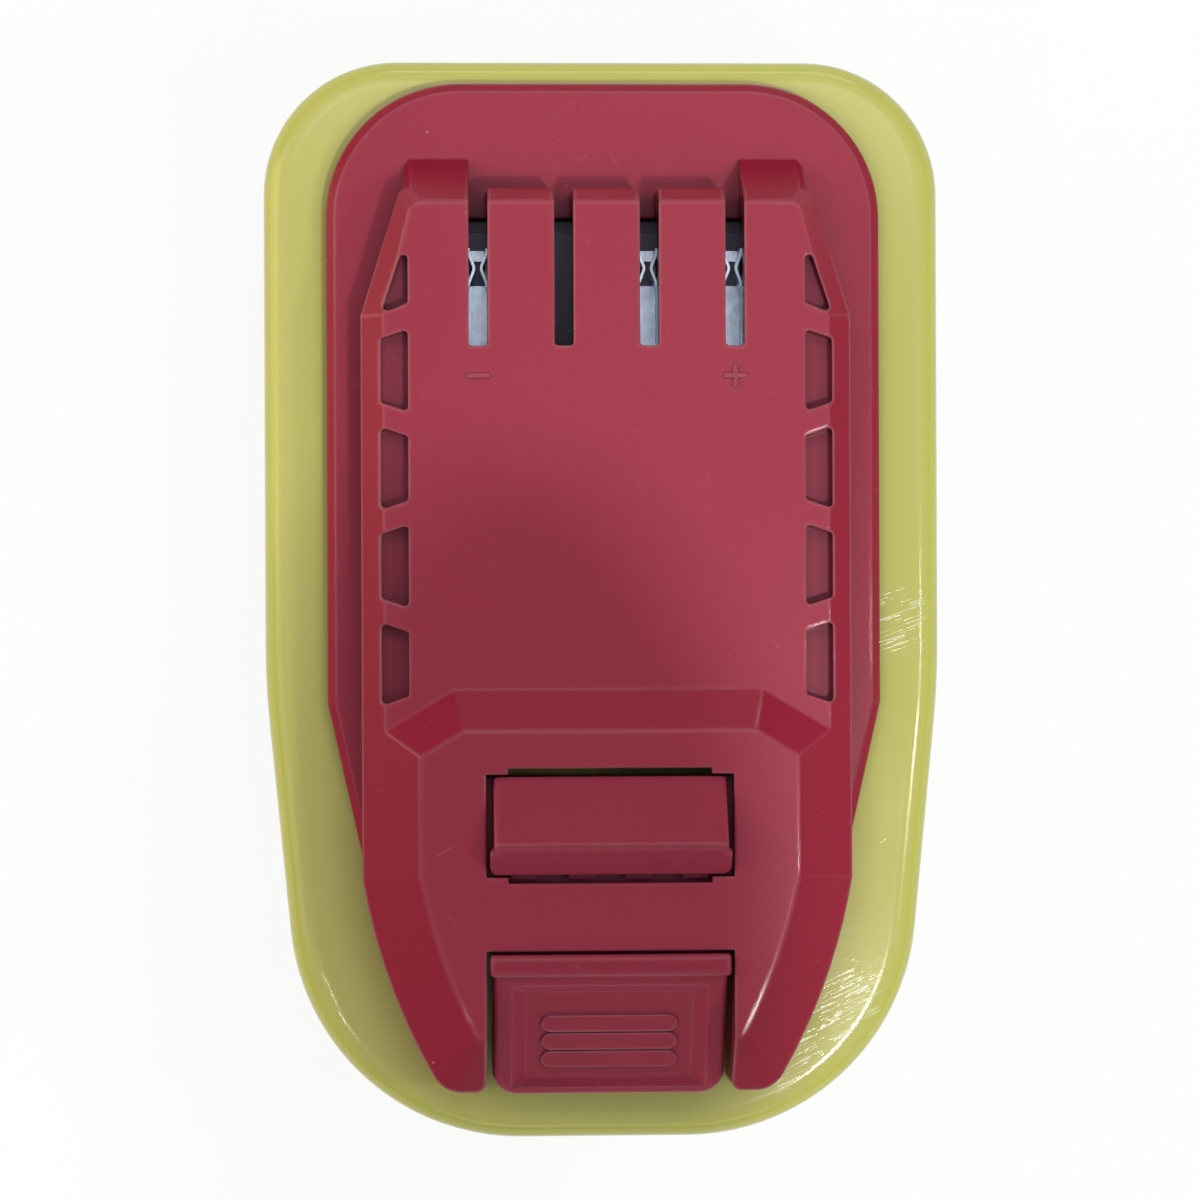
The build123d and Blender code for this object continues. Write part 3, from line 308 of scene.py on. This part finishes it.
# Housing and the four screws that hold the foot to it. A deep lime green shell, moulded in a polished
# tool, so it is glossy. The deck's edge is scuffed where the adapter has knocked against things.
lime_plastic = moulded_plastic(
    "lime_plastic",
    colour=(0.52, 0.53, 0.095),
    faded=(0.55, 0.555, 0.110),
    painted_recess_shade=(0.22, 0.21, 0.045),
    roughness=0.14,
    grain_size=0.0012,
    grain_depth=0.000008,
    corner=0.0004,
    specular=0.4,
    painted_top_sheen=(0.525, 0.52, 0.140),
    scuffs=[
        ((0.0327, -0.0022, 0.0530), 0.0045, 0.33),
        ((0.0270, -0.0460, 0.0530), 0.0058, 0.45),
        ((0.0215, -0.0525, 0.0530), 0.0042, 0.45),
    ],
)
dress(lime_plastic, "housing")
screw_black = bright_metal(
    "screw_black",
    colour=(0.05, 0.05, 0.052),
    tarnish=(0.02, 0.018, 0.016),
    roughness=0.38,
    along=(1, 1, 3),
    line_size=0.0002,
    corner=0.0002,
)
dress(screw_black, "foot_screws")

# Wires from the battery leaves to the forks: stranded copper in soft insulation, one colour for each
# pole, soldered at both ends with dull blobs of tin.


def insulation(name, colour, roughness):
    """Soft extruded insulation: a waxy skin with shallow ripples and a few duller, darker smudges."""
    smudge_size, ripple_size = 0.004, 0.0007
    ripple_depth = 0.00003
    material, shader = new_surface(name)
    place = shader_node(material, "ShaderNodeTexCoord").outputs["Object"]
    smudge = ramp(material, cloud(material, place, smudge_size, 3.0), 0.4, 0.7)
    smudged = tuple(0.7 * channel + 0.01 for channel in colour)
    ripples = {"Height": cloud(material, place, ripple_size), "Distance": ripple_depth}
    sockets = {
        "Base Color": blended(material, smudge, (*colour, 1), (*smudged, 1)),
        "Specular IOR Level": 0.4,
        "Roughness": ramp(material, smudge, 0, 1, roughness, roughness + 0.15),
        "Normal": shader_node(material, "ShaderNodeBump", ripples).outputs["Normal"],
    }
    set_sockets(material, shader, sockets)
    return material


dress(insulation("black_sleeve", (0.018, 0.018, 0.020), 0.38), "negative_wire")
dress(insulation("red_sleeve", (0.42, 0.012, 0.010), 0.38), "positive_wire")
dress(insulation("white_sleeve", (0.72, 0.71, 0.67), 0.40), "sense_wire")
solder_tin = bright_metal(
    "solder_tin",
    colour=(0.62, 0.62, 0.60),
    tarnish=(0.36, 0.35, 0.33),
    roughness=0.34,
    along=(1, 1, 1),
    line_size=0.0004,
    corner=0.0003,
)
dress(solder_tin, "solder_joints")

# Terminal carrier, its three fork contacts and its two screws. The carrier is smooth dark grey plastic.
# Each fork is folded from bright plated strip, with two leaves that pinch the tool's blade.
carrier_plastic = moulded_plastic(
    "carrier_plastic",
    colour=(0.105, 0.082, 0.140),
    faded=(0.112, 0.088, 0.148),
    painted_recess_shade=(0.088, 0.070, 0.120),
    roughness=0.40,
    grain_size=0.0002,
    grain_depth=0.00001,
    corner=0.0002,
    specular=0.4,
)
dress(carrier_plastic, "terminal_carrier")
fork_plating = bright_metal(
    "fork_plating",
    colour=(0.60, 0.70, 0.84),
    tarnish=(0.46, 0.49, 0.55),
    roughness=0.22,
    along=(1, 8, 1),
    line_size=0.0003,
    corner=0.00012,
)
dress(fork_plating, "negative_fork", "sense_fork", "positive_fork")
dress(screw_zinc, "carrier_screws")

# Rail cover and its four screws. Crimson plastic with a satin skin: base plate, rails with their
# windows, blade slots and the raised latch housing. It is screwed on from under the deck.
cover_plastic = moulded_plastic(
    "cover_plastic",
    colour=(0.285, 0.009, 0.028),
    faded=(0.300, 0.011, 0.032),
    painted_recess_shade=(0.185, 0.033, 0.060),
    roughness=0.34,
    grain_size=0.00025,
    grain_depth=0.000012,
    corner=0.0006,
    specular=0.16,
    painted_top_sheen=(0.322, 0.031, 0.059),
)
dress(cover_plastic, "rail_cover")
dress(screw_zinc, "cover_screws")

# Latch and its two coil springs. The hook and the thumb button are one crimson moulding, polished by the
# thumb. The springs are wound from drawn steel wire with closed end turns, and stand between the deck and
# the latch's web, which flattens them.
latch_plastic = moulded_plastic(
    "latch_plastic",
    colour=(0.360, 0.038, 0.072),
    faded=(0.375, 0.042, 0.076),
    painted_recess_shade=(0.185, 0.033, 0.060),
    roughness=0.34,
    grain_size=0.00025,
    grain_depth=0.000010,
    corner=0.0005,
    specular=0.15,
    painted_top_sheen=(0.282, 0.025, 0.050),
)
dress(latch_plastic, "release_latch")
spring_wire = bright_metal(
    "spring_wire",
    colour=(0.60, 0.60, 0.60),
    tarnish=(0.38, 0.36, 0.33),
    roughness=0.26,
    along=(6, 6, 1),
    line_size=0.0001,
    corner=0.0001,
)
wire_radius = 0.00035
end_climb = 2.1 * wire_radius
spring_turns = 7
steps_per_turn = 36
steps_round_wire = 12


def wound_wire(middle, foot, coil_radius, climb):
    """The points and faces of a coil spring's wire. Its middle goes round at one radius. It climbs by a
    little over a wire's thickness in the first and in the last turn, and evenly between them. Each ring
    of the tube is a circle across the wire, and a flat face closes each end."""
    turned = np.linspace(0, spring_turns, spring_turns * steps_per_turn + 1)
    turn_marks = [0, 1, spring_turns - 1, spring_turns]
    rise = np.interp(turned, turn_marks, [0, end_climb, climb - end_climb, climb])
    angles = 2 * np.pi * turned
    level = np.zeros_like(turned)
    outward = np.stack([np.cos(angles), np.sin(angles), level], axis=1)
    centres = coil_radius * outward + np.stack([level, level, rise], axis=1)
    centres += [middle.x, middle.y, foot]
    across = np.cross(np.gradient(centres, axis=0), outward)
    across /= np.linalg.norm(across, axis=1, keepdims=True)
    around = np.linspace(0, 2 * np.pi, steps_round_wire, endpoint=False)[None, :, None]
    circles = np.cos(around) * outward[:, None] + np.sin(around) * across[:, None]
    points = (centres[:, None] + wire_radius * circles).reshape(-1, 3)
    rings = np.arange(len(points)).reshape(-1, steps_round_wire)
    after = np.roll(rings, -1, axis=1)
    walls = np.stack([rings[:-1], after[:-1], after[1:], rings[1:]], axis=2).reshape(-1, 4)
    ends = [rings[0][::-1].tolist(), rings[-1].tolist()]
    return points.tolist(), walls.tolist() + ends


def coil_spring(node, piece_name):
    """A wound spring in the place of its CAD node, standing on its lower end."""
    low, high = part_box(node)
    middle = (low + high) / 2
    height = high.z - low.z
    coil_radius = (high.x - low.x) / 2 - wire_radius
    points, faces = wound_wire(middle, low.z + wire_radius, coil_radius, height - 2 * wire_radius)
    mesh = bpy.data.meshes.new(piece_name)
    mesh.from_pydata(points, [], faces)
    mesh.shade_smooth()
    mesh.materials.append(spring_wire)
    piece = bpy.data.objects.new(piece_name, mesh)
    scene.collection.objects.link(piece)
    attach(piece, "adapter_body")
    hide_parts(node)
    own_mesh(piece)


coil_spring("latch_spring_left", "left_latch_coil")
coil_spring("latch_spring_right", "right_latch_coil")

# Floor: a plain sheet of paper well past the frame. It looks white to the camera and in reflections, and
# still takes the adapter's shadow.
floor_half = 3.0
white_share = 0.90
corners = [(-1, -1), (1, -1), (1, 1), (-1, 1)]
floor_mesh = bpy.data.meshes.new("floor")
floor_mesh.from_pydata([(x * floor_half, y * floor_half, 0) for x, y in corners], [], [(0, 1, 2, 3)])
floor = bpy.data.objects.new("floor", floor_mesh)
scene.collection.objects.link(floor)
paper, default_shader = new_surface("paper")
paper.node_tree.nodes.remove(default_shader)
light_path = shader_node(paper, "ShaderNodeLightPath").outputs
seeing_rays = [light_path[f"Is {kind} Ray"] for kind in ("Camera", "Glossy", "Transmission")]
share = combined(paper, "MULTIPLY", combined(paper, "MAXIMUM", *seeing_rays), white_share)
glow = shader_node(paper, "ShaderNodeEmission", {"Color": (1, 1, 1, 1), "Strength": 1.0})
sheet = shader_node(paper, "ShaderNodeBsdfDiffuse", {"Color": (0.94, 0.94, 0.94, 1)})
sockets = {0: share, 1: sheet.outputs["BSDF"], 2: glow.outputs["Emission"]}
white = shader_node(paper, "ShaderNodeMixShader", sockets).outputs["Shader"]
set_sockets(paper, paper.node_tree.nodes["Material Output"], {"Surface": white})
floor_mesh.materials.append(paper)

# Camera: straight down on the tool side from just under half a metre, a little left of the middle, and
# the frame is as wide as the photograph is at the height of the deck.
deck_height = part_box("terminal_carrier")[0].z
camera_distance = 0.450
frame_width = 0.1346
camera_side = -0.020
frame_shift = 0.0004
camera_turn = -0.004
camera = bpy.data.objects.new("camera", bpy.data.cameras.new("camera"))
scene.collection.objects.link(camera)
scene.camera = camera
camera.location = (camera_side - frame_shift, 0, deck_height + camera_distance)
camera.data.lens = camera.data.sensor_width * camera_distance / frame_width
camera.rotation_euler = (0, math.atan(camera_side / camera_distance), camera_turn)

# Light: a room that is brightest overhead, one ceiling lamp, and weak lamps low down that light the edges.
# An oval card casts its soft shade on the near left part, and a narrow one dims the left side.
rails_top = (0, 0, 0.06)
daylight = (1, 0.98, 0.95)
bulb = (1, 0.98, 0.92)


def soft_lamp(name, place, towards, width, height, power, colour):
    """A rectangular lamp that faces a point."""
    lamp = bpy.data.lights.new(name, "AREA")
    lamp.shape = "RECTANGLE"
    lamp.size = width
    lamp.size_y = height
    lamp.energy = power
    lamp.color = colour
    holder = bpy.data.objects.new(name, lamp)
    scene.collection.objects.link(holder)
    holder.location = place
    holder.rotation_euler = (Vector(towards) - Vector(place)).to_track_quat("-Z", "Y").to_euler()


lamp_place = Vector((0.150, -0.170, 0.71))
soft_lamp("ceiling_lamp", lamp_place, rails_top, 0.05, 0.05, 1.80, daylight)
soft_lamp("near_window", (0.02, 0.17, 0.42), (0, 0.02, 0.06), 0.30, 0.16, 0.25, (1, 0.99, 0.97))
soft_lamp("front_window", (0.10, 0.60, 0.20), (0, 0, 0.05), 0.40, 0.08, 0.35, daylight)
soft_lamp("left_lamp", (-0.52, 0.12, 0.17), rails_top, 0.22, 0.40, 0.82, (1, 0.66, 0.38))
soft_lamp("left_window", (-0.40, 0.06, 0.30), rails_top, 0.40, 0.24, 0.30, (0.76, 0.86, 1.0))
soft_lamp("low_lamp", (0.02, -0.50, 0.24), rails_top, 0.40, 0.10, 0.20, (1, 0.88, 0.68))
soft_lamp("right_lamp", (0.41, -0.01, 0.56), rails_top, 0.012, 0.035, 0.16, bulb)
soft_lamp("near_right_lamp", (0.41, -0.068, 0.56), rails_top, 0.012, 0.045, 0.33, bulb)
soft_lamp("far_left_lamp", (-0.19, -0.20, 0.61), rails_top, 0.012, 0.012, 0.10, bulb)


def shade_card(name, lamp_share, shade_middle, shade_half):
    """An oval card, unseen itself, whose shade on the adapter has this middle and these half sides. It hangs
    this share of the way up to the ceiling lamp."""
    turns = np.linspace(0, 2 * np.pi, 48, endpoint=False)
    circle = np.stack([np.cos(turns), np.sin(turns), 0 * turns], axis=1)
    card_middle = Vector(shade_middle).lerp(lamp_place, lamp_share)
    rim = circle * [*shade_half, 0] * (1 - lamp_share) + np.array(card_middle)
    mesh = bpy.data.meshes.new(name)
    mesh.from_pydata(rim.tolist(), [], [tuple(range(len(rim)))])
    card = bpy.data.objects.new(name, mesh)
    scene.collection.objects.link(card)
    card.visible_camera = False
    card.visible_glossy = False
    card.visible_diffuse = False


shade_card("oval_card", 0.22, (-0.012, -0.045, 0.06), (0.030, 0.062))
shade_card("narrow_card", 0.40, (-0.036, 0.040, 0.06), (0.0035, 0.090))

room = bpy.data.worlds.new("room")
scene.world = room
room.use_nodes = True
direction = shader_node(room, "ShaderNodeTexCoord").outputs["Generated"]
upness = shader_node(room, "ShaderNodeSeparateXYZ", {"Vector": direction}).outputs["Z"]
overhead = ramp(room, upness, 0.1, 0.9)
room_colour = blended(room, overhead, (0.12, 0.12, 0.12, 1), (0.52, 0.53, 0.57, 1))
set_sockets(room, room.node_tree.nodes["Background"], {"Color": room_colour})
